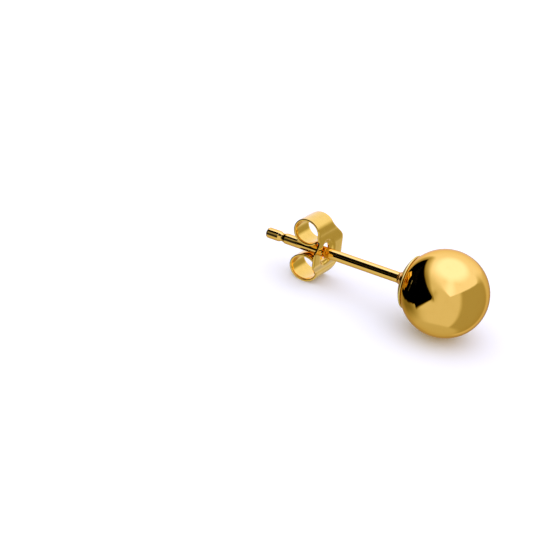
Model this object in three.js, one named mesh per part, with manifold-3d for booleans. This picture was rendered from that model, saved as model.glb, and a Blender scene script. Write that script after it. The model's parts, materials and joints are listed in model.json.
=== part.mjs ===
// Ball stud earring: a polished gold ball on a straight ear post, with a butterfly back pushed on the post.
// It lies on a table as it does by itself, on the ball and on the lower scroll of the butterfly back.
// Millimetres, +Z up, +X from the post's tip towards the ball, origin on the table under the middle.

import * as THREE from 'three';
import { mergeVertices } from 'three/addons/utils/BufferGeometryUtils.js';
import Module from 'manifold-3d';

// Ball, cup and post, which are soldered into one piece. The ball is a thin shell, and a pinhole under
// the post lets the hot air out of it while the cup is soldered on.
const ballRadius = 3.0;
const ballWall = 0.15;
const ventRadius = 0.2;
const ventFromPostAxis = 1.0;
const ventLength = 1.0;
const cupWall = 0.15;
const cupRimRadius = 1.85;
const cupRimStep = 0.03;
const cupSeamAngle = 0.02;
const postRadius = 0.38;
const postTip = 14.05;
const tipRounding = 0.14;
const solderFillet = 0.12;
const notchCentre = 12.78;
const notchHalfLength = 0.34;
const notchDepth = 0.09;

// Butterfly back, one strip of sheet: a plate with a hole, and two ears rolled back into scrolls
const sheetThickness = 0.18;
const edgeBevel = 0.04;
const plateFromBallCentre = 9.13;
const plateNearReach = 1.8;
const plateFarReach = 2.07;
const plateFlatReach = 0.5;
const earTaperStart = 2.2;
const earTipRounding = 0.35;
const scrollTurn = THREE.MathUtils.degToRad(322);
const ears = {
  upper: {
    side: 1,
    centreBack: 1.28,
    centreUp: 1.445,
    radiusBack: 1.07,
    radiusUp: 1.0,
    near: { reach: 1.08, wingStart: 0.25, wingEnd: 1.1, taper: 0.03 },
    far: { reach: 0.99, wingStart: 0.72, wingEnd: 2.07, taper: 0.05 },
  },
  lower: {
    side: -1,
    centreBack: 1.4,
    centreUp: 1.4,
    radiusBack: 1.15,
    radiusUp: 0.99,
    near: { reach: 0.68, wingStart: 0.45, wingEnd: 1.85, taper: 0.0 },
    far: { reach: 1.65, wingStart: 1.35, wingEnd: 2.0, taper: 0.2 },
  },
};

// Dished hole of the plate, which guides the post in
const dishRadius = 0.92;
const holeRadius = 0.66;
const dishDepth = 0.24;
const collarLength = 0.32;
const collarWall = 0.15;

// Fineness of the facets
const roundSegments = 48;
const ballSteps = 30;
const hollowSteps = 18;
const ventSegments = 12;
const cupSteps = 7;
const cornerSteps = 4;
const notchSteps = 8;
const plateSteps = 14;
const scrollSteps = 46;
const holeSegments = 40;

const gold = { color: 0xd9a441, roughness: 0.08, metalness: 1.0 };

const wasm = await Module();
wasm.setup();

// A turned body about the X axis, from a profile of (radius, x) points that starts at its low x end
function turned(profile, segments) {
  const geometry = new THREE.LatheGeometry(profile, segments);
  geometry.rotateZ(-Math.PI / 2);
  return closedGeometry(geometry);
}

function closedGeometry(geometry) {
  geometry.deleteAttribute('normal');
  geometry.deleteAttribute('uv');
  return mergeVertices(geometry, 1e-4);
}

function toManifold(geometry) {
  const vertProperties = new Float32Array(geometry.attributes.position.array);
  const triVerts = new Uint32Array(geometry.index.array);
  return new wasm.Manifold(new wasm.Mesh({ numProp: 3, vertProperties, triVerts }));
}

function fromManifold(solid) {
  const mesh = solid.getMesh();
  const geometry = new THREE.BufferGeometry();
  geometry.setAttribute('position', new THREE.BufferAttribute(new Float32Array(mesh.vertProperties), 3));
  geometry.setIndex(new THREE.BufferAttribute(new Uint32Array(mesh.triVerts), 1));
  geometry.computeVertexNormals();
  return geometry;
}

// Points on an arc about the ball's centre in the profile plane; the angle is taken from the -X direction
function arcPoints(radius, fromAngle, toAngle, steps) {
  const points = [];
  for (let i = 0; i <= steps; i += 1) {
    const angle = fromAngle + ((toAngle - fromAngle) * i) / steps;
    points.push(new THREE.Vector2(radius * Math.sin(angle), -radius * Math.cos(angle)));
  }
  return points;
}

// The post's tip: a flat end with a rounded edge
function tipPoints() {
  const points = [new THREE.Vector2(0, -postTip)];
  for (let i = 0; i <= cornerSteps; i += 1) {
    const angle = (Math.PI / 2) * (i / cornerSteps);
    const radius = postRadius - tipRounding + tipRounding * Math.sin(angle);
    points.push(new THREE.Vector2(radius, -postTip + tipRounding * (1 - Math.cos(angle))));
  }
  return points;
}

// The ring notch near the tip, where the scrolls snap in
function notchPoints() {
  const points = [];
  for (let i = 0; i <= notchSteps; i += 1) {
    const along = -1 + (2 * i) / notchSteps;
    const depth = notchDepth * Math.cos((along * Math.PI) / 2) ** 2;
    points.push(new THREE.Vector2(postRadius - depth, -notchCentre + notchHalfLength * along));
  }
  return points;
}

// The fillet of solder between post and cup
function filletPoints() {
  const cupOuter = ballRadius + cupWall;
  const footRadius = postRadius + solderFillet;
  const cupX = -Math.sqrt(cupOuter ** 2 - footRadius ** 2);
  const points = [];
  for (let i = 0; i <= cornerSteps; i += 1) {
    const angle = (Math.PI / 2) * (i / cornerSteps);
    const radius = footRadius - solderFillet * Math.cos(angle);
    points.push(new THREE.Vector2(radius, cupX - solderFillet * (1 - Math.sin(angle))));
  }
  return points;
}

// The whole turned outline: tip, notch, fillet, the cup's back, its rim and the ball
function outlineGeometry() {
  const cupOuter = ballRadius + cupWall;
  const rimAngle = Math.asin(cupRimRadius / cupOuter);
  const footAngle = Math.asin((postRadius + solderFillet) / cupOuter);
  const profile = [
    ...tipPoints(),
    ...notchPoints(),
    ...filletPoints(),
    ...arcPoints(cupOuter, footAngle, rimAngle, cupSteps).slice(1),
    ...arcPoints(ballRadius + cupRimStep, rimAngle, rimAngle, 1).slice(1),
    ...arcPoints(ballRadius, rimAngle + cupSeamAngle, Math.PI, ballSteps),
  ];
  profile[profile.length - 1].x = 0;
  return turned(profile, roundSegments);
}

// The hollow inside the ball
function hollowGeometry() {
  return turned(arcPoints(ballRadius - ballWall, 0, Math.PI, hollowSteps), roundSegments);
}

// The pinhole through the cup and the ball's wall, under the post
function ventGeometry() {
  const geometry = new THREE.CylinderGeometry(ventRadius, ventRadius, ventLength, ventSegments);
  geometry.rotateZ(Math.PI / 2);
  geometry.translate(-ballRadius, 0, -ventFromPostAxis);
  return closedGeometry(geometry);
}

function ballStudGeometry() {
  const outline = toManifold(outlineGeometry());
  return fromManifold(outline.subtract(toManifold(hollowGeometry())).subtract(toManifold(ventGeometry())));
}

function smooth(value) {
  const t = THREE.MathUtils.clamp(value, 0, 1);
  return t * t * (3 - 2 * t);
}

// The outer face of one ear, from the hole's centre to the free end, as (back, up) points:
// flat plate, slight bow, then an elliptical scroll that turns back towards the plate
function earFace(ear) {
  const bow = ear.centreBack - ear.radiusBack;
  const points = [];
  for (let i = 0; i < plateSteps; i += 1) {
    const up = (ear.centreUp * i) / plateSteps;
    const back = bow * smooth((up - plateFlatReach) / (ear.centreUp - plateFlatReach));
    points.push(new THREE.Vector2(back, up));
  }
  for (let i = 0; i <= scrollSteps; i += 1) {
    const angle = Math.PI - (scrollTurn * i) / scrollSteps;
    const back = ear.centreBack + ear.radiusBack * Math.cos(angle);
    points.push(new THREE.Vector2(back, ear.centreUp + ear.radiusUp * Math.sin(angle)));
  }
  return points.map((point) => new THREE.Vector2(point.x, ear.side * point.y));
}

// Where one edge of the strip lies across it, by the signed distance along the strip from the hole.
// side is -1 on the near side and 1 on the far side. Each edge narrows from the plate's wing to its ear
// in its own way, because the lower ear was rolled a little askew.
function edgeAcross(along, side, length) {
  const ear = along < 0 ? ears.lower : ears.upper;
  const edge = side < 0 ? ear.near : ear.far;
  const plateReach = side < 0 ? plateNearReach : plateFarReach;
  const distance = Math.abs(along);
  const wing = 1 - smooth((distance - edge.wingStart) / (edge.wingEnd - edge.wingStart));
  const missing = Math.max(0, earTipRounding - (length - distance));
  const corner = earTipRounding - Math.sqrt(earTipRounding ** 2 - missing ** 2);
  const earReach = edge.reach - edge.taper * Math.max(0, distance - earTaperStart) - corner;
  return side * THREE.MathUtils.lerp(earReach, plateReach, wing);
}

// Stations along the whole strip, from the lower free end over the plate to the upper free end
function stripStations() {
  const face = [...earFace(ears.lower).slice(1).reverse(), ...earFace(ears.upper)];
  const middle = earFace(ears.lower).length - 1;
  const lengths = [0];
  for (let i = 1; i < face.length; i += 1) {
    lengths.push(lengths[i - 1] + face[i].distanceTo(face[i - 1]));
  }
  return face.map((point, i) => {
    const before = face[Math.max(i - 1, 0)];
    const after = face[Math.min(i + 1, face.length - 1)];
    const direction = after.clone().sub(before).normalize();
    const along = lengths[i] - lengths[middle];
    const length = along < 0 ? lengths[middle] : lengths[face.length - 1] - lengths[middle];
    return { point, inward: new THREE.Vector2(direction.y, -direction.x), along, length };
  });
}

// The strip as a closed mesh: eight corners at each station, with its edges slightly bevelled
function stripGeometry() {
  const stations = stripStations();
  const positions = [];
  const index = [];
  for (const station of stations) {
    const near = edgeAcross(station.along, -1, station.length);
    const far = edgeAcross(station.along, 1, station.length);
    const corners = [
      [near + edgeBevel, 0],
      [far - edgeBevel, 0],
      [far, edgeBevel],
      [far, sheetThickness - edgeBevel],
      [far - edgeBevel, sheetThickness],
      [near + edgeBevel, sheetThickness],
      [near, sheetThickness - edgeBevel],
      [near, edgeBevel],
    ];
    for (const [across, depth] of corners) {
      const back = station.point.x + station.inward.x * depth;
      const up = station.point.y + station.inward.y * depth;
      positions.push(-back, across, up);
    }
  }
  const count = positions.length / 3 / stations.length;
  for (let i = 0; i < stations.length - 1; i += 1) {
    for (let j = 0; j < count; j += 1) {
      const a = i * count + j;
      const b = i * count + ((j + 1) % count);
      index.push(a, b, b + count);
      index.push(a, b + count, a + count);
    }
  }
  const last = (stations.length - 1) * count;
  for (let j = 1; j < count - 1; j += 1) {
    index.push(0, j + 1, j);
    index.push(last, last + j, last + j + 1);
  }
  const geometry = new THREE.BufferGeometry();
  geometry.setAttribute('position', new THREE.Float32BufferAttribute(positions, 3));
  geometry.setIndex(index);
  return geometry;
}

// The hole's dished collar, pressed out towards the back of the plate
function collarGeometry() {
  const profile = [
    new THREE.Vector2(0, -collarLength),
    new THREE.Vector2(holeRadius + collarWall, -collarLength),
    new THREE.Vector2(dishRadius + collarWall, -sheetThickness * 0.8),
    new THREE.Vector2(dishRadius + collarWall, -sheetThickness / 2),
    new THREE.Vector2(0, -sheetThickness / 2),
  ];
  return turned(profile, holeSegments);
}

function holeGeometry() {
  const profile = [
    new THREE.Vector2(0, -1),
    new THREE.Vector2(holeRadius, -1),
    new THREE.Vector2(holeRadius, -dishDepth),
    new THREE.Vector2(dishRadius, 0),
    new THREE.Vector2(dishRadius, 1),
    new THREE.Vector2(0, 1),
  ];
  return turned(profile, holeSegments);
}

function butterflyGeometry() {
  const strip = toManifold(stripGeometry());
  const collar = toManifold(collarGeometry());
  const hole = toManifold(holeGeometry());
  return fromManifold(strip.add(collar).subtract(hole));
}

// How far the post leans down when the ball and the lower scroll both touch the table
function leanAngle() {
  const { centreBack, centreUp, radiusBack, radiusUp } = ears.lower;
  const reach = plateFromBallCentre + centreBack;
  let lean = 0;
  for (let i = 0; i < 20; i += 1) {
    const scrollDepth = Math.hypot(radiusBack * Math.sin(lean), radiusUp * Math.cos(lean));
    lean = Math.asin((ballRadius - centreUp * Math.cos(lean) - scrollDepth) / reach);
  }
  return lean;
}

const ballStud = new THREE.Mesh(ballStudGeometry(), new THREE.MeshStandardMaterial(gold));
ballStud.name = 'ball_stud';

const butterflyBack = new THREE.Mesh(butterflyGeometry(), new THREE.MeshStandardMaterial(gold));
butterflyBack.name = 'butterfly_back';
butterflyBack.position.x = -plateFromBallCentre;

const earring = new THREE.Group();
earring.add(ballStud, butterflyBack);
earring.rotation.y = -leanAngle();

const lying = new THREE.Group();
lying.add(earring);
lying.updateMatrixWorld(true);
const box = new THREE.Box3().setFromObject(lying, true);
earring.position.set(-(box.min.x + box.max.x) / 2, 0, -box.min.z);

export default lying;
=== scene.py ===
# Ball stud earring as it lies on a table, on its ball and on one scroll of its butterfly back.
# Metres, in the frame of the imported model: +X along the table towards the ball, +Y along the scrolls, +Z up.
import json
import math

import bpy
import numpy as np
from mathutils import Matrix, Vector


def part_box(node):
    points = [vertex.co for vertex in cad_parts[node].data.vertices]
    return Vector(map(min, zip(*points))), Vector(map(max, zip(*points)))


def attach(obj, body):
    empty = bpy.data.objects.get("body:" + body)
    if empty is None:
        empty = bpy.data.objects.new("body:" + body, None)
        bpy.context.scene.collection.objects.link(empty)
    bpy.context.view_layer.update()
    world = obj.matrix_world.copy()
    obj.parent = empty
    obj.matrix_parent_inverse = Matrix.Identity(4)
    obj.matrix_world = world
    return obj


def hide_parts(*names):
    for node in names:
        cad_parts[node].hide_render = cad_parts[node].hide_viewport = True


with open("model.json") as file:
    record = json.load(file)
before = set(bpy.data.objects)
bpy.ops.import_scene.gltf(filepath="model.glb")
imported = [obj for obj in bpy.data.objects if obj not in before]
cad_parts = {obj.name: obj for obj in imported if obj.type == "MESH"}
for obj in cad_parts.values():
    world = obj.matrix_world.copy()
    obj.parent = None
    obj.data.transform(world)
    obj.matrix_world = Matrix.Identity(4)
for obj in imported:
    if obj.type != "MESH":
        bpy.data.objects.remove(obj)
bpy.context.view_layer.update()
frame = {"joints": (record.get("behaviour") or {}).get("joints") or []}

# Ball
# A hollow ball of thin yellow gold with a pinhole behind, which lets the air out while it is soldered.
# It is buffed to a mirror, which leaves hairlines and a slight waviness in what it mirrors.
mm = 0.001
ball_radius = 3.0 * mm
ball_wall = 0.15 * mm
vent_radius = 0.2 * mm
vent_length = 1.0 * mm
vent_centre = (-3.0 * mm, 0.0, -1.0 * mm)
gold_tint = (1.0, 0.655, 0.15, 1.0)
ball_roughness = 0.035
ball_steps = 150
ball_segments = 256
inside_steps = 48
inside_segments = 96
drill_segments = 48
crease_angle = math.radians(38.0)
weld_distance = 2e-7

post_axis = Vector(frame["joints"][0]["axis"]).normalized()
stud_low, stud_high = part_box("ball_stud")
ball_centre = Vector((stud_high.x - ball_radius, 0.0, stud_low.z + ball_radius))
towards_ball = -post_axis
along_scrolls = Vector((0.0, 1.0, 0.0))
scroll_to_scroll = towards_ball.cross(along_scrolls)
stud_turn = Matrix((towards_ball, along_scrolls, scroll_to_scroll)).transposed().to_4x4()
stud_place = Matrix.Translation(ball_centre) @ stud_turn
lean = math.atan2(towards_ball.z, towards_ball.x)


class Wire:
    """A socket of a node tree. Sums and products of wires add Math nodes to their own tree."""

    def __init__(self, tree, socket):
        self.tree = tree
        self.socket = socket

    @classmethod
    def node(cls, tree, kind, settings, inputs, out=0):
        """Adds one node, sets its settings, then its sockets' values or links, and gives one output."""
        made = tree.nodes.new(kind)
        for name, value in settings.items():
            setattr(made, name, value)
        for key, value in inputs.items():
            if isinstance(value, Wire):
                value = [value]
            if isinstance(value, list):
                for wire in value:
                    tree.links.new(wire.socket, made.inputs[key])
            else:
                made.inputs[key].default_value = value
        return cls(tree, made.outputs[out])

    def output(self, name):
        return Wire(self.tree, self.socket.node.outputs[name])

    def math(self, operation, *values):
        return Wire.node(self.tree, "ShaderNodeMath", {"operation": operation}, dict(enumerate(values)))

    def smooth(self, low, high):
        """0 below low, 1 above high, and a smooth step between them."""
        limits = {"Value": self, "From Min": low, "From Max": high}
        return Wire.node(self.tree, "ShaderNodeMapRange", {"interpolation_type": "SMOOTHSTEP"}, limits)

    def __add__(self, other):
        return self.math("ADD", self, other)

    def __radd__(self, other):
        return self.math("ADD", other, self)

    def __sub__(self, other):
        return self.math("SUBTRACT", self, other)

    def __rsub__(self, other):
        return self.math("SUBTRACT", other, self)

    def __mul__(self, other):
        return self.math("MULTIPLY", self, other)

    def __rmul__(self, other):
        return self.math("MULTIPLY", other, self)

    def __truediv__(self, other):
        return self.math("DIVIDE", self, other)

    def __rtruediv__(self, other):
        return self.math("DIVIDE", other, self)


def add_sockets(tree, inputs):
    """Gives a geometry tree its named inputs and its one output, and returns the inputs as wires by name."""
    for name, kind in inputs.items():
        tree.interface.new_socket(name, in_out="INPUT", socket_type=kind)
    tree.interface.new_socket("Piece", in_out="OUTPUT", socket_type="NodeSocketGeometry")
    entry = Wire.node(tree, "NodeGroupInput", {}, {})
    return {name: entry.output(name) for name in inputs}


def close_tree(tree, geometry, finish):
    """The last nodes of a geometry tree: real geometry, with its material."""
    real = Wire.node(tree, "GeometryNodeRealizeInstances", {}, {"Geometry": geometry})
    painted = Wire.node(tree, "GeometryNodeSetMaterial", {}, {"Geometry": real, "Material": finish})
    leave = tree.nodes.new("NodeGroupOutput")
    tree.links.new(painted.socket, leave.inputs[0])


def creased(tree, geometry):
    """Smooth shading, but for the edges with a sharp bend."""
    smooth = Wire.node(tree, "GeometryNodeSetShadeSmooth", {}, {"Geometry": geometry})
    bend = Wire.node(tree, "GeometryNodeInputMeshEdgeAngle", {}, {}, "Unsigned Angle")
    return Wire.node(tree, "GeometryNodeSetShadeSmooth", {"domain": "EDGE"}, {
        "Geometry": smooth,
        "Selection": bend.math("GREATER_THAN", bend, crease_angle),
        "Shade Smooth": False,
    })


def turning_tree():
    """Geometry nodes of a lathe: a profile of points (x, radius) is turned about the X axis."""
    tree = bpy.data.node_groups.new("lathe", "GeometryNodeTree")
    given = add_sockets(tree, {
        "Profile": "NodeSocketGeometry",
        "Segments": "NodeSocketInt",
        "Finish": "NodeSocketMaterial",
    })
    count = Wire.node(tree, "GeometryNodeAttributeDomainSize", {"component": "MESH"},
                      {"Geometry": given["Profile"]}, "Point Count")
    grid = Wire.node(tree, "GeometryNodeMeshGrid", {},
                     {"Vertices X": given["Segments"] + 1, "Vertices Y": count}, "Mesh")
    index = Wire.node(tree, "GeometryNodeInputIndex", {}, {})
    turn = index.math("FLOOR", index / count)
    row = index - turn * count
    place = Wire.node(tree, "GeometryNodeInputPosition", {}, {})
    point = Wire.node(tree, "GeometryNodeSampleIndex", {"data_type": "FLOAT_VECTOR"},
                      {"Geometry": given["Profile"], "Value": place, "Index": row})
    parts = Wire.node(tree, "ShaderNodeSeparateXYZ", {}, {"Vector": point}, "X")
    angle = turn * math.tau / given["Segments"]
    radius = parts.output("Y")
    turned_place = Wire.node(tree, "ShaderNodeCombineXYZ", {}, {
        "X": parts,
        "Y": radius * angle.math("COSINE", angle),
        "Z": radius * angle.math("SINE", angle),
    })
    moved = Wire.node(tree, "GeometryNodeSetPosition", {}, {"Geometry": grid, "Position": turned_place})
    merged = Wire.node(tree, "GeometryNodeMergeByDistance", {},
                       {"Geometry": moved, "Distance": weld_distance})
    smooth = Wire.node(tree, "GeometryNodeSetShadeSmooth", {}, {"Geometry": merged})
    close_tree(tree, smooth, given["Finish"])
    return tree


def grown(name, source, tree, values):
    """Runs a geometry tree on a mesh of source points and keeps the result as a plain mesh."""
    raw = bpy.data.objects.new(name, source)
    bpy.context.scene.collection.objects.link(raw)
    modifier = raw.modifiers.new("shape", "NODES")
    modifier.node_group = tree
    for socket in tree.interface.items_tree:
        if socket.name in values:
            modifier[socket.identifier] = values[socket.name]
    seen = raw.evaluated_get(bpy.context.evaluated_depsgraph_get())
    mesh = bpy.data.meshes.new_from_object(seen)
    raw.modifiers.remove(modifier)
    raw.data = mesh
    bpy.data.meshes.remove(source)
    mesh.name = name
    return raw


def drilling_tree():
    """Geometry nodes that put an inner surface into a skin and drill a hole through both."""
    tree = bpy.data.node_groups.new("drill", "GeometryNodeTree")
    given = add_sockets(tree, {
        "Skin": "NodeSocketGeometry",
        "Inside": "NodeSocketObject",
        "Drill": "NodeSocketObject",
        "Finish": "NodeSocketMaterial",
    })
    inside = Wire.node(tree, "GeometryNodeObjectInfo", {}, {"Object": given["Inside"]}, "Geometry")
    drill = Wire.node(tree, "GeometryNodeObjectInfo", {}, {"Object": given["Drill"]}, "Geometry")
    hollow = Wire.node(tree, "GeometryNodeJoinGeometry", {}, {"Geometry": [given["Skin"], inside]})
    drilled = Wire.node(tree, "GeometryNodeMeshBoolean", {"operation": "DIFFERENCE", "solver": "EXACT"},
                        {"Mesh 1": hollow, "Mesh 2": [drill]}, "Mesh")
    close_tree(tree, creased(tree, drilled), given["Finish"])
    return tree


lathe = turning_tree()
drill_press = drilling_tree()


def turned(name, profile, segments, finish):
    """A piece turned about the post's axis from a profile of (x from the ball, radius) in metres."""
    source = bpy.data.meshes.new(name + "_profile")
    source.from_pydata([(x, radius, 0.0) for x, radius in profile], [], [])
    piece = grown(name, source, lathe, {"Segments": segments, "Finish": finish})
    piece.data.transform(stud_place)
    return piece


def vented(name, skin, inside, finish):
    """A turned skin with its inner surface, drilled by the vent. The source objects are used up."""
    drill_points = [(-vent_length / 2, 0.0), (-vent_length / 2, vent_radius),
                    (vent_length / 2, vent_radius), (vent_length / 2, 0.0)]
    drill = turned("vent_drill", drill_points, drill_segments, finish)
    drill.data.transform(stud_place @ Matrix.Translation(vent_centre) @ stud_place.inverted())
    piece = grown(name, skin.data.copy(), drill_press, {"Inside": inside, "Drill": drill, "Finish": finish})
    for used in (skin, inside, drill):
        bpy.data.objects.remove(used)
    return piece


def arc(centre, radius, start, end, steps):
    """Points (x, radius) on an arc of a turned profile, by angles in degrees from the +X direction."""
    angles = np.radians(np.linspace(start, end, steps + 1))
    return [(centre[0] + radius * math.cos(a), centre[1] + radius * math.sin(a)) for a in angles]


def gold(name, tint, roughness, wave, hairline, grain_scale):
    """Buffed gold: wave is the height of the waviness and hairline that of the fine lines, in metres.

    Where the surface is more worn it is duller and a little darker."""
    material = bpy.data.materials.new(name)
    material.use_nodes = True
    tree = material.node_tree
    tree.nodes.clear()
    place = Wire.node(tree, "ShaderNodeTexCoord", {}, {}, "Object")
    along = Wire.node(tree, "ShaderNodeMapping", {"vector_type": "TEXTURE"},
                      {"Vector": place, "Rotation": (0.0, -lean, 0.0)})
    lines_place = Wire.node(tree, "ShaderNodeMapping", {}, {"Vector": along, "Scale": grain_scale})
    waves = Wire.node(tree, "ShaderNodeTexNoise", {}, {"Vector": along, "Scale": 650.0, "Detail": 2.0})
    lines = Wire.node(tree, "ShaderNodeTexNoise", {}, {"Vector": lines_place, "Scale": 1.0, "Detail": 4.0})
    cloud = Wire.node(tree, "ShaderNodeTexNoise", {}, {"Vector": along, "Scale": 1400.0, "Detail": 5.0})
    height = waves * wave + cloud * (0.25 * wave) + lines * hairline
    bump = Wire.node(tree, "ShaderNodeBump", {}, {
        "Height": height,
        "Strength": 1.0,
        "Distance": 1.0,
    }, "Normal")
    worn = cloud.smooth(0.45, 0.75)
    shaded = Wire.node(tree, "ShaderNodeMix", {"data_type": "RGBA"}, {
        0: worn * 0.5,
        6: tint,
        7: (tint[0] * 0.97, tint[1] * 0.95, tint[2] * 0.9, 1.0),
    }, 2)
    shader = Wire.node(tree, "ShaderNodeBsdfPrincipled", {}, {
        "Base Color": shaded,
        "Metallic": 1.0,
        "Specular Tint": (0.8, 0.6, 0.42, 1.0),
        "Roughness": roughness + worn * (roughness * 0.6) + lines * (roughness * 0.4),
        "Normal": bump,
    })
    leave = tree.nodes.new("ShaderNodeOutputMaterial")
    tree.links.new(shader.socket, leave.inputs["Surface"])
    return material


mirror_gold = gold("mirror_gold", gold_tint, roughness=ball_roughness, wave=6.0e-6, hairline=0.05e-6,
                   grain_scale=(9000.0, 9000.0, 1500.0))
skin_profile = arc((0.0, 0.0), ball_radius, 180.0, 0.0, ball_steps)
ball_skin = turned("ball_skin", skin_profile, ball_segments, mirror_gold)
inside_profile = arc((0.0, 0.0), ball_radius - ball_wall, 0.0, 180.0, inside_steps)
ball_inside = turned("ball_inside", inside_profile, inside_segments, mirror_gold)
ball = vented("ball", ball_skin, ball_inside, mirror_gold)
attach(ball, "stud")
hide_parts("ball_stud")

# Cup
# A shallow dish pressed from sheet, which hugs the back of the ball and is soldered to it. Its rim is
# rounded and stands a hair off the ball. The acid bath after soldering left it paler than the ball.
cup_wall = 0.15 * mm
cup_rim_radius = 1.85 * mm
cup_rim_gap = 0.012 * mm
cup_sink = 0.05 * mm
cup_tint = (0.82, 0.71, 0.25, 1.0)
cup_segments = 192
cup_outer = ball_radius + cup_wall
rim_angle = math.degrees(math.asin(cup_rim_radius / cup_outer))
rim_rounding = (cup_wall - cup_rim_gap) / 2
rim_middle = ball_radius + cup_rim_gap + rim_rounding
rim_centre = (-rim_middle * math.cos(math.radians(rim_angle)), rim_middle * math.sin(math.radians(rim_angle)))
cup_profile = (
    arc((0.0, 0.0), cup_outer, 180.0, 180.0 - rim_angle, 48)
    + arc(rim_centre, rim_rounding, 180.0 - rim_angle, -rim_angle, 14)[1:]
    + arc((0.0, 0.0), ball_radius + cup_rim_gap, 180.0 - rim_angle, 183.0 - rim_angle, 4)[1:]
    + arc((0.0, 0.0), ball_radius - cup_sink, 184.5 - rim_angle, 180.0, 40)
)
cup_gold = gold("cup_gold", cup_tint, roughness=0.10, wave=3.0e-6, hairline=0.1e-6,
                grain_scale=(4000.0, 4000.0, 4000.0))
cup_skin = turned("cup_skin", cup_profile, cup_segments, cup_gold)
cup_inside = bpy.data.objects.new("cup_inside", bpy.data.meshes.new("cup_inside"))
cup = vented("cup", cup_skin, cup_inside, cup_gold)
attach(cup, "stud")
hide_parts("ball_stud")

# Ear post
# Drawn gold wire, 0.76 mm across, soldered into the cup with a small fillet. The tip is rounded, and a
# ring notch near it keeps the butterfly back from slipping off.
post_radius = 0.38 * mm
post_tip = 14.05 * mm
tip_rounding = 0.14 * mm
solder_fillet = 0.12 * mm
notch_centre = 12.78 * mm
notch_half_length = 0.34 * mm
notch_depth = 0.09 * mm
post_segments = 96


def notch_radius(x):
    """The wire's radius near the notch."""
    along = min(1.0, abs((-x - notch_centre) / notch_half_length))
    return post_radius - notch_depth * math.cos(along * math.pi / 2) ** 2


foot_radius = post_radius + solder_fillet
foot_x = -math.sqrt(cup_outer ** 2 - foot_radius ** 2)
notch_xs = np.linspace(-notch_centre - notch_half_length, -notch_centre + notch_half_length, 33)
shaft_xs = np.linspace(-notch_centre + 2 * notch_half_length, foot_x - 2 * solder_fillet, 24)
post_profile = (
    [(-post_tip, 0.0)]
    + arc((-post_tip + tip_rounding, post_radius - tip_rounding), tip_rounding, 180.0, 90.0, 12)
    + [(x, notch_radius(x)) for x in notch_xs]
    + [(x, post_radius) for x in shaft_xs]
    + arc((foot_x - solder_fillet, foot_radius), solder_fillet, 270.0, 360.0, 12)
    + [(foot_x + cup_wall, foot_radius), (foot_x + cup_wall, 0.0)]
)
wire_gold = gold("wire_gold", gold_tint, roughness=0.05, wave=0.5e-6, hairline=0.25e-6,
                 grain_scale=(120.0, 9000.0, 9000.0))
post = turned("ear_post", post_profile, post_segments, wire_gold)
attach(post, "stud")
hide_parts("ball_stud")

# Solder
# The solder that holds the post in the cup. It ran round the foot as a small uneven collar, and it is
# redder than the gold, for it holds more copper.
solder_length = 0.36 * mm
solder_swell = 0.05 * mm
solder_foot = 0.2 * mm
solder_swell_rate = 1.6
solder_tint = (0.74, 0.40, 0.10, 1.0)
solder_x = -math.sqrt(cup_outer ** 2 - (post_radius + solder_foot) ** 2)
solder_start = foot_x - solder_length
solder_reach = solder_x - foot_x + solder_length
solder_inner = post_radius - solder_swell
solder_profile = [(solder_start, solder_inner)]
for share in np.linspace(0.0, 1.0, 19):
    rise = solder_swell * math.sin(math.pi * min(1.0, solder_swell_rate * share)) + solder_foot * share ** 3
    solder_profile.append((solder_start + solder_reach * share, post_radius + rise))
solder_profile += [
    (foot_x + cup_wall, post_radius + solder_foot),
    (foot_x + cup_wall, solder_inner),
    (solder_start, solder_inner),
]
solder_gold = gold("solder_gold", solder_tint, roughness=0.07, wave=3.0e-5, hairline=1.2e-5,
                   grain_scale=(7000.0, 7000.0, 7000.0))
solder = turned("solder", solder_profile, post_segments, solder_gold)
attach(solder, "stud")
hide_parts("ball_stud")

# Butterfly back
# One strip of rolled gold sheet. The plate is pressed into a dish round its hole, its two wings spread
# along the lobe, and the two ears are rolled back into scrolls that spring on the post between them.
sheet = 0.18 * mm
edge_rounding = 0.045 * mm
edge_soft = 0.22 * mm
outer_drop = 0.012 * mm
inner_drop = 0.03 * mm
plate_from_ball = 9.13 * mm
plate_near_reach = 1.8 * mm
plate_far_reach = 2.07 * mm
plate_flat = 0.5 * mm
taper_start = 2.2 * mm
ear_corner = 0.35 * mm
scroll_turn = math.radians(322.0)
upper_ear = {
    "side": 1,
    "back": 1.28 * mm,
    "up": 1.445 * mm,
    "deep": 1.07 * mm,
    "tall": 1.0 * mm,
    "near": {"reach": 1.08 * mm, "wing_start": 0.25 * mm, "wing_end": 1.1 * mm, "taper": 0.03},
    "far": {"reach": 0.99 * mm, "wing_start": 0.72 * mm, "wing_end": 2.07 * mm, "taper": 0.05},
}
lower_ear = {
    "side": -1,
    "back": 1.4 * mm,
    "up": 1.4 * mm,
    "deep": 1.15 * mm,
    "tall": 0.99 * mm,
    "near": {"reach": 0.68 * mm, "wing_start": 0.45 * mm, "wing_end": 1.85 * mm, "taper": 0.0},
    "far": {"reach": 1.65 * mm, "wing_start": 1.35 * mm, "wing_end": 2.0 * mm, "taper": 0.2},
}
dish_radius = 1.02 * mm
dish_depth = 0.24 * mm
hole_radius = 0.66 * mm
hole_flat = 0.07 * mm
hole_lip = 0.04 * mm
piercer_back = 0.9 * mm
piercer_front = 0.5 * mm
piercer_segments = 96
press_reach = 0.36 * mm
plate_steps = 34
scroll_steps = 110
face_points = 51
edge_points = 6


def step(value):
    """0 up to 0, 1 from 1 on, and a smooth step between them."""
    value = min(1.0, max(0.0, value))
    return value * value * (3.0 - 2.0 * value)


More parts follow.
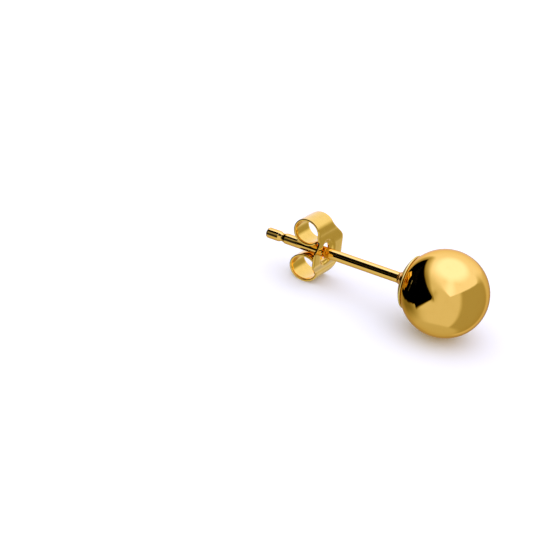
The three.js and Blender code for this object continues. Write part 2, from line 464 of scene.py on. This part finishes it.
def ear_line(ear):
    """The outer face of one ear as (back, up) points: flat plate, slight bow, and the rolled scroll."""
    bow = ear["back"] - ear["deep"]
    line = []
    for i in range(plate_steps):
        up = ear["up"] * i / plate_steps
        line.append((bow * step((up - plate_flat) / (ear["up"] - plate_flat)), ear["side"] * up))
    for i in range(scroll_steps + 1):
        angle = math.pi - scroll_turn * i / scroll_steps
        back = ear["back"] + ear["deep"] * math.cos(angle)
        line.append((back, ear["side"] * (ear["up"] + ear["tall"] * math.sin(angle))))
    return line


def edge_across(along, side, length):
    """Where one edge lies across the strip, by the distance along it from the hole. side is -1 or 1."""
    ear = lower_ear if along < 0 else upper_ear
    edge = ear["near"] if side < 0 else ear["far"]
    distance = abs(along)
    wing = 1.0 - step((distance - edge["wing_start"]) / (edge["wing_end"] - edge["wing_start"]))
    missing = max(0.0, ear_corner - (length - distance))
    corner = ear_corner - math.sqrt(ear_corner ** 2 - missing ** 2)
    reach = edge["reach"] - edge["taper"] * max(0.0, distance - taper_start) - corner
    plate_reach = plate_near_reach if side < 0 else plate_far_reach
    return side * (reach + (plate_reach - reach) * wing)


def strip_stations():
    """Points along the strip's outer face, with the width, direction and end rounding at each."""
    line = np.array(ear_line(lower_ear)[:0:-1] + ear_line(upper_ear))
    middle = len(ear_line(lower_ear)) - 1
    steps = np.hypot(*np.diff(line, axis=0).T)
    along = np.concatenate(([0.0], np.cumsum(steps)))
    along -= along[middle]
    way = np.gradient(line, axis=0)
    way /= np.hypot(*way.T)[:, None]
    rows = []
    for (back, up), direction, s in zip(line, way, along):
        length = abs(along[0]) if s < 0 else along[-1]
        left = min(1.0, (length - abs(s)) / (sheet / 2))
        rows.append({
            "place": (-back, 0.0, up),
            "inward": (-direction[1], 0.0, -direction[0]),
            "near": edge_across(s, -1, length),
            "far": edge_across(s, 1, length),
            "swell": math.sqrt(max(0.0, 1.0 - (1.0 - left) ** 2)),
            "along": s,
        })
    return rows


def edge_profile(side, soft_drop):
    """One rounded edge, face to middle: share of the width, distance in, and depth from the face."""
    points = []
    for inset in np.linspace(edge_soft, edge_rounding, edge_points, endpoint=False):
        points.append((side, inset * (1 - 2 * side), soft_drop * (1 - inset / edge_soft) ** 2))
    for angle in np.radians(np.linspace(90.0, 0.0, edge_points)):
        inset = edge_rounding * (1 - math.cos(angle))
        drop = soft_drop * (1 - inset / edge_soft) ** 2
        points.append((side, inset * (1 - 2 * side), drop + edge_rounding * (1 - math.sin(angle))))
    return points


def strip_section():
    """All round the strip's section: share of the width, distance in from that edge, and depth."""
    shares = np.linspace(0.0, 1.0, face_points)[1:-1]
    outer = [(share, edge_soft * (1 - 2 * share), 0.0) for share in shares]
    inner = [(share, edge_soft * (1 - 2 * share), sheet) for share in shares]
    inner_edges = [[(x, y, sheet - z) for x, y, z in edge_profile(side, inner_drop)] for side in (0.0, 1.0)]
    return (
        edge_profile(0.0, outer_drop)[::-1] + outer + edge_profile(1.0, outer_drop)
        + inner_edges[1][::-1] + inner[::-1] + inner_edges[0]
    )


def rolling_tree():
    """Geometry nodes that sweep the section along the stations, press the dish and pierce the hole."""
    tree = bpy.data.node_groups.new("rolled_strip", "GeometryNodeTree")
    given = add_sockets(tree, {
        "Stations": "NodeSocketGeometry",
        "Section": "NodeSocketObject",
        "Piercer": "NodeSocketObject",
        "Thickness": "NodeSocketFloat",
        "Dish radius": "NodeSocketFloat",
        "Dish floor radius": "NodeSocketFloat",
        "Dish depth": "NodeSocketFloat",
        "Plate reach": "NodeSocketFloat",
        "Finish": "NodeSocketMaterial",
    })
    section = Wire.node(tree, "GeometryNodeObjectInfo", {}, {"Object": given["Section"]}, "Geometry")
    piercer = Wire.node(tree, "GeometryNodeObjectInfo", {}, {"Object": given["Piercer"]}, "Geometry")
    stations = Wire.node(tree, "GeometryNodeAttributeDomainSize", {"component": "MESH"},
                         {"Geometry": given["Stations"]}, "Point Count")
    corners = Wire.node(tree, "GeometryNodeAttributeDomainSize", {"component": "MESH"},
                        {"Geometry": section}, "Point Count")
    grid = Wire.node(tree, "GeometryNodeMeshGrid", {},
                     {"Vertices X": stations, "Vertices Y": corners + 1}, "Mesh")
    index = Wire.node(tree, "GeometryNodeInputIndex", {}, {})
    row = index.math("FLOOR", (index + 0.5) / (corners + 1))
    column = index - row * (corners + 1)
    corner = column - corners * column.math("GREATER_THAN", column, corners - 0.5)
    position = Wire.node(tree, "GeometryNodeInputPosition", {}, {})

    def read(geometry, name, kind, at):
        value = position
        if name:
            value = Wire.node(tree, "GeometryNodeInputNamedAttribute", {"data_type": kind}, {"Name": name})
        return Wire.node(tree, "GeometryNodeSampleIndex", {"data_type": kind},
                         {"Geometry": geometry, "Value": value, "Index": at})

    station = read(given["Stations"], "", "FLOAT_VECTOR", row)
    inward = read(given["Stations"], "inward", "FLOAT_VECTOR", row)
    near = read(given["Stations"], "near", "FLOAT", row)
    far = read(given["Stations"], "far", "FLOAT", row)
    swell = read(given["Stations"], "swell", "FLOAT", row)
    along = read(given["Stations"], "along", "FLOAT", row)
    section_place = read(section, "", "FLOAT_VECTOR", corner)
    share = Wire.node(tree, "ShaderNodeSeparateXYZ", {}, {"Vector": section_place}, "X")
    across = near + (far - near) * share + share.output("Y")
    middle = given["Thickness"] * 0.5
    depth = middle + (share.output("Z") - middle) * swell
    inset = Wire.node(tree, "ShaderNodeVectorMath", {"operation": "SCALE"}, {0: inward, "Scale": depth})
    sideways = Wire.node(tree, "ShaderNodeCombineXYZ", {}, {"Y": across})
    swept = Wire.node(tree, "ShaderNodeVectorMath", {"operation": "ADD"}, {
        0: Wire.node(tree, "ShaderNodeVectorMath", {"operation": "ADD"}, {0: station, 1: inset}),
        1: sideways,
    })
    strip = Wire.node(tree, "GeometryNodeSetPosition", {}, {"Geometry": grid, "Position": swept})
    grain = Wire.node(tree, "ShaderNodeCombineXYZ", {}, {"X": along, "Y": across, "Z": depth})
    marked = Wire.node(tree, "GeometryNodeStoreNamedAttribute", {"data_type": "FLOAT_VECTOR"},
                       {"Geometry": strip, "Name": "grain", "Value": grain})
    parts = Wire.node(tree, "ShaderNodeSeparateXYZ", {}, {"Vector": position}, "X")
    side = parts.output("Y")
    up = parts.output("Z")
    from_hole = side.math("SQRT", side * side + up * up)
    on_plate = parts.math("GREATER_THAN", parts, -1.0 * given["Plate reach"])
    pressed = 1.0 - from_hole.smooth(given["Dish floor radius"], given["Dish radius"])
    push = Wire.node(tree, "ShaderNodeCombineXYZ", {}, {"X": -1.0 * given["Dish depth"] * pressed * on_plate})
    dished = Wire.node(tree, "GeometryNodeSetPosition", {}, {"Geometry": marked, "Offset": push})
    merged = Wire.node(tree, "GeometryNodeMergeByDistance", {},
                       {"Geometry": dished, "Distance": weld_distance})
    pierced = Wire.node(tree, "GeometryNodeMeshBoolean", {"operation": "DIFFERENCE", "solver": "EXACT"},
                        {"Mesh 1": merged, "Mesh 2": piercer}, "Mesh")
    close_tree(tree, creased(tree, pierced), given["Finish"])
    return tree


def sheet_gold_finish():
    """Rolled sheet: fine lines along the strip, a slight waviness and a soft haze."""
    material = bpy.data.materials.new("sheet_gold")
    material.use_nodes = True
    tree = material.node_tree
    tree.nodes.clear()
    grain = Wire.node(tree, "ShaderNodeAttribute", {"attribute_name": "grain"}, {}, "Vector")
    place = Wire.node(tree, "ShaderNodeTexCoord", {}, {}, "Object")
    stretched = Wire.node(tree, "ShaderNodeMapping", {}, {"Vector": grain, "Scale": (400.0, 14000.0, 400.0)})
    lines = Wire.node(tree, "ShaderNodeTexNoise", {}, {"Vector": stretched, "Scale": 1.0, "Detail": 3.0})
    waves = Wire.node(tree, "ShaderNodeTexNoise", {}, {"Vector": place, "Scale": 900.0, "Detail": 2.0})
    cloud = Wire.node(tree, "ShaderNodeTexNoise", {}, {"Vector": place, "Scale": 2200.0, "Detail": 5.0})
    bump = Wire.node(tree, "ShaderNodeBump", {}, {
        "Height": waves * 4.0e-6 + lines * 0.25e-6,
        "Strength": 1.0,
        "Distance": 1.0,
    }, "Normal")
    haze = cloud.smooth(0.4, 0.75)
    shaded = Wire.node(tree, "ShaderNodeMix", {"data_type": "RGBA"}, {
        0: haze * 0.6,
        6: (0.97, 0.65, 0.12, 1.0),
        7: (0.90, 0.58, 0.10, 1.0),
    }, 2)
    shader = Wire.node(tree, "ShaderNodeBsdfPrincipled", {}, {
        "Base Color": shaded,
        "Metallic": 1.0,
        "Roughness": 0.07 + haze * 0.05 + lines * 0.03,
        "Normal": bump,
    })
    leave = tree.nodes.new("ShaderNodeOutputMaterial")
    tree.links.new(shader.socket, leave.inputs["Surface"])
    return material


def points_mesh(name, rows):
    """A mesh of bare points at their rows' places, with every other value as a point attribute."""
    mesh = bpy.data.meshes.new(name)
    mesh.from_pydata([row["place"] for row in rows], [], [])
    for label in rows[0]:
        if label == "place":
            continue
        values = [row[label] for row in rows]
        if isinstance(values[0], tuple):
            attribute = mesh.attributes.new(label, "FLOAT_VECTOR", "POINT")
            attribute.data.foreach_set("vector", np.array(values, np.float32).ravel())
        else:
            attribute = mesh.attributes.new(label, "FLOAT", "POINT")
            attribute.data.foreach_set("value", np.array(values, np.float32))
    return mesh


hole_back = -dish_depth - sheet
piercer_profile = (
    [(-piercer_back, 0.0), (-piercer_back, hole_radius + hole_lip)]
    + arc((hole_back + hole_lip, hole_radius + hole_lip), hole_lip, 180.0, 270.0, 8)
    + arc((-dish_depth - hole_lip, hole_radius + hole_lip), hole_lip, 270.0, 360.0, 8)
    + [(piercer_front, hole_radius + hole_lip), (piercer_front, 0.0)]
)
sheet_gold = sheet_gold_finish()
piercer = turned("piercer", piercer_profile, piercer_segments, sheet_gold)
piercer.data.transform(stud_place.inverted())
section_mesh = points_mesh("section", [{"place": point} for point in strip_section()])
section_points = bpy.data.objects.new("section", section_mesh)
butterfly = grown("butterfly_back_rolled", points_mesh("strip", strip_stations()), rolling_tree(), {
    "Section": section_points,
    "Piercer": piercer,
    "Thickness": sheet,
    "Dish radius": dish_radius,
    "Dish floor radius": hole_radius + hole_flat,
    "Dish depth": dish_depth,
    "Plate reach": press_reach,
    "Finish": sheet_gold,
})
butterfly.data.transform(stud_place @ Matrix.Translation((-plate_from_ball, 0.0, 0.0)))
bpy.data.objects.remove(piercer)
bpy.data.objects.remove(section_points)
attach(butterfly, "back")
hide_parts("butterfly_back")

# Table
# A plain pale table top, 3 m wide. The polished metal mirrors the tent instead of it.
table_half_size = 1.5
table_mesh = bpy.data.meshes.new("table")
table_mesh.from_pydata(
    [(-table_half_size, -table_half_size, 0.0), (table_half_size, -table_half_size, 0.0),
     (table_half_size, table_half_size, 0.0), (-table_half_size, table_half_size, 0.0)],
    [], [(0, 1, 2, 3)])
table = bpy.data.objects.new("table", table_mesh)
bpy.context.scene.collection.objects.link(table)
table.visible_glossy = False
table_paint = bpy.data.materials.new("table_paint")
table_paint.use_nodes = True
table_shader = table_paint.node_tree.nodes["Principled BSDF"]
table_shader.inputs["Base Color"].default_value = (0.9, 0.9, 0.9, 1.0)
table_shader.inputs["Roughness"].default_value = 0.9
table_shader.inputs["Specular IOR Level"].default_value = 0.1
table_mesh.materials.append(table_paint)

# Light tent
# White cloth walls under a bright ceiling, with a darker panel on the right and a black flag on the
# left: the shapes that the ball mirrors. Azimuths are in degrees from +Y towards +X.
wall_light = 0.73
panel_drop = 0.31
back_wall_light = 0.5
back_wall_rise = 0.55
wall_light_above_flag = 0.62
low_wall_light = 0.58
lamp_light = 0.32
side_lamp_light = 0.20
flag_azimuth = -97.0
shade_above_flag = 0.6
shade_left_of_flag = 0.3
shade_below_flag = 0.65
table_light_strength = 1.35
world = bpy.data.worlds.new("light_tent")
bpy.context.scene.world = world
world.use_nodes = True
tent = world.node_tree
tent.nodes.clear()
sight = Wire.node(tent, "ShaderNodeTexCoord", {}, {}, "Generated")
sight_x = Wire.node(tent, "ShaderNodeSeparateXYZ", {}, {"Vector": sight}, "X")
sight_y = sight_x.output("Y")
sight_z = sight_x.output("Z")
level = sight_x.math("SQRT", sight_x * sight_x + sight_y * sight_y)
elevation = sight_z.math("ARCTAN2", sight_z, level) * math.degrees(1.0)


def towards(azimuth):
    """How far a direction points towards an azimuth: the cosine of the angle between them."""
    angle = math.radians(azimuth)
    return sight_x * math.sin(angle) + sight_y * math.cos(angle)


def beside(azimuth, half, soft):
    """1 within half degrees of an azimuth and 0 beyond, with an edge that is soft degrees wide each way."""
    turn = sight_x.math("ARCCOSINE", towards(azimuth) / level) * math.degrees(1.0)
    return 1.0 - turn.smooth(half - soft, half + soft)


wall = wall_light - panel_drop * beside(71.0, 42.0, 7.0)
behind = beside(-27.0, 36.0, 12.0)
wall = wall + behind * (back_wall_light + back_wall_rise * elevation.smooth(-35.0, 30.0) - wall)
flag_side_wall = beside(-103.0, 42.0, 28.0)
above_flag = flag_side_wall * elevation.smooth(10.0, 30.0)
below_flag = flag_side_wall * (1.0 - elevation.smooth(-36.0, -24.0))
wall = wall + above_flag * (wall_light_above_flag - wall) + below_flag * (low_wall_light - wall)
wall = wall + (1.0 - elevation.smooth(-68.0, -58.0)) * (low_wall_light - wall)

wall_top = sight_x.math("MAXIMUM", towards(92.0) * 0.60, towards(-150.0) * 0.92)
haze = beside(-115.0, 75.0, 25.0)
corner_haze = beside(30.0, 12.0, 10.0)
ceiling = ((sight_z - wall_top) / (0.05 + 0.33 * haze + 0.30 * corner_haze)).smooth(-0.5, 1.0)
lamp = (sight_y * 0.139 + sight_z * 0.990).smooth(0.72, 0.927)
side_lamp = beside(146.0, 14.0, 12.0) * (1.0 - elevation.smooth(50.0, 75.0))
ceiling_light = 1.0 + lamp_light * lamp + side_lamp_light * side_lamp

ahead = towards(flag_azimuth)
flag_u = towards(flag_azimuth + 90.0) / ahead
flag_v = sight_z / ahead
rough_edge = Wire.node(tent, "ShaderNodeTexNoise", {}, {"Vector": sight, "Scale": 13.0, "Detail": 3.0}) - 0.5
far_end = flag_u.smooth(-0.66, -0.58)
flag_bottom = (-1.186 - 0.317 * flag_u) * (1.0 - far_end) - 0.62 * far_end + rough_edge * 0.1 * far_end
flag_top = 0.70 - 0.016 * (flag_u + 1.0) * (flag_u + 1.0)
flag = (
    ahead.smooth(0.0, 0.02)
    * flag_u.smooth(-3.95, -3.45)
    * (1.0 - flag_u.smooth(0.72, 0.80))
    * (flag_v - flag_bottom).smooth(-0.03, 0.05 + 0.17 * (1.0 - far_end))
    * (1.0 - (flag_v - flag_top).smooth(-0.05, 0.06))
)
shade_above = flag_u.smooth(-14.0, -5.0) * (1.0 - flag_u.smooth(0.8, 1.2)) * ahead.smooth(0.0, 0.02)
shade_above = shade_above * (1.0 - (flag_v - flag_top).smooth(0.0, 0.6)) * elevation.smooth(-6.0, 8.0)
shade_left = beside(-174.0, 6.0, 10.0) * elevation.smooth(-10.0, 10.0) * (1.0 - elevation.smooth(18.0, 34.0))
shade_below = beside(-95.0, 32.0, 24.0) * elevation.smooth(-64.0, -36.0) * (1.0 - elevation.smooth(0.0, 10.0))
shade = (
    (1.0 - shade_above_flag * shade_above)
    * (1.0 - shade_left_of_flag * shade_left)
    * (1.0 - shade_below_flag * shade_below)
)
seen = (wall + ceiling * (ceiling_light - wall)) * shade * (1.0 - flag)
mirrored = Wire.node(tent, "ShaderNodeCombineColor", {}, {
    "Red": seen,
    "Green": seen.math("POWER", seen, 1.12),
    "Blue": 1.4 * seen.math("POWER", seen, 2.0),
})
tent_light = Wire.node(tent, "ShaderNodeBackground", {}, {"Color": mirrored, "Strength": 1.0})
white = (1.0, 1.0, 1.0, 1.0)
table_light = Wire.node(tent, "ShaderNodeBackground", {}, {"Color": white, "Strength": table_light_strength})
backdrop = Wire.node(tent, "ShaderNodeBackground", {}, {"Color": white, "Strength": 1.0})
path = Wire.node(tent, "ShaderNodeLightPath", {}, {}, "Is Camera Ray")
lit = Wire.node(tent, "ShaderNodeMixShader", {}, {
    0: path.output("Is Diffuse Ray"),
    1: tent_light,
    2: table_light,
})
tent_shader = Wire.node(tent, "ShaderNodeMixShader", {}, {0: path, 1: lit, 2: backdrop})
tent_output = tent.nodes.new("ShaderNodeOutputWorld")
tent.links.new(tent_shader.socket, tent_output.inputs["Surface"])

# Cards
# Narrow cards beside the post, which mirrors them as the dark and the pale lines along its upper side.
# In the ball they fall inside the black flag. The camera and the table don't see them.
card_distance = 5.0 * mm
card_places = {
    "black_card": {"light": 0.0, "near": (5.0, 100.0, 156.0), "far": (13.2, 98.0, 150.0)},
    "end_card_high": {"light": 0.0, "near": (13.6, 96.0, 136.0), "far": (17.5, 92.0, 137.0)},
    "end_card_pale": {"light": 0.24, "near": (13.9, 144.0, 160.0), "far": (17.5, 140.0, 169.0)},
    "end_card_low": {"light": 0.03, "near": (13.6, 172.0, 205.0), "far": (17.5, 172.0, 211.0)},
}


def card_corner(from_ball, angle):
    """A card's corner, by the millimetres from the ball's centre and the degrees about the post's axis."""
    turn = math.radians(angle)
    return (-from_ball * mm, card_distance * math.cos(turn), card_distance * math.sin(turn))


for name, card in card_places.items():
    near, near_from, near_to = card["near"]
    far, far_from, far_to = card["far"]
    card_mesh = bpy.data.meshes.new(name)
    card_mesh.from_pydata([
        card_corner(near, near_from), card_corner(far, far_from),
        card_corner(far, far_to), card_corner(near, near_to),
    ], [], [(0, 1, 2, 3)])
    card_mesh.transform(stud_place)
    card_piece = bpy.data.objects.new(name, card_mesh)
    bpy.context.scene.collection.objects.link(card_piece)
    card_piece.visible_camera = False
    card_piece.visible_diffuse = False
    card_piece.visible_shadow = False
    card_paint = bpy.data.materials.new(name)
    card_paint.use_nodes = True
    card_shader = card_paint.node_tree.nodes["Principled BSDF"]
    card_shader.inputs["Base Color"].default_value = (0.002, 0.002, 0.002, 1.0)
    card_shader.inputs["Roughness"].default_value = 1.0
    card_shader.inputs["Specular IOR Level"].default_value = 0.0
    card_shader.inputs["Emission Color"].default_value = white
    card_shader.inputs["Emission Strength"].default_value = card["light"]
    card_mesh.materials.append(card_paint)

# Camera
# It stands 100 mm from the ball, looks down by 27 degrees, and is tilted slightly about its own axis.
# The ball's centre falls on its place in a square picture 533 pixels wide.
picture_side = 533.0
ball_pixel = (444.9, 293.7)
ball_distance = 100.0 * mm
focal_pixels = 1500.0
camera_azimuth = math.radians(28.655)
camera_elevation = math.radians(26.627)
camera_roll = math.radians(9.334)
backwards = Vector((
    math.sin(camera_azimuth) * math.cos(camera_elevation),
    -math.cos(camera_azimuth) * math.cos(camera_elevation),
    math.sin(camera_elevation),
))
level_right = Vector((0.0, 0.0, 1.0)).cross(backwards).normalized()
level_up = backwards.cross(level_right)
camera_right = level_right * math.cos(camera_roll) + level_up * math.sin(camera_roll)
camera_up = level_up * math.cos(camera_roll) - level_right * math.sin(camera_roll)
ball_right = (ball_pixel[0] - picture_side / 2) / focal_pixels * ball_distance
ball_down = (ball_pixel[1] - picture_side / 2) / focal_pixels * ball_distance
camera_place = ball_centre - camera_right * ball_right + camera_up * ball_down + backwards * ball_distance
camera_data = bpy.data.cameras.new("camera")
camera_data.sensor_width = 36.0
camera_data.lens = focal_pixels / picture_side * camera_data.sensor_width
camera_data.clip_start = 1.0 * mm
camera_data.clip_end = 10.0
camera = bpy.data.objects.new("camera", camera_data)
bpy.context.scene.collection.objects.link(camera)
camera.matrix_world = Matrix.Translation(camera_place) @ Matrix((
    camera_right, camera_up, backwards)).transposed().to_4x4()
bpy.context.scene.camera = camera
bpy.context.scene.view_settings.view_transform = "Standard"
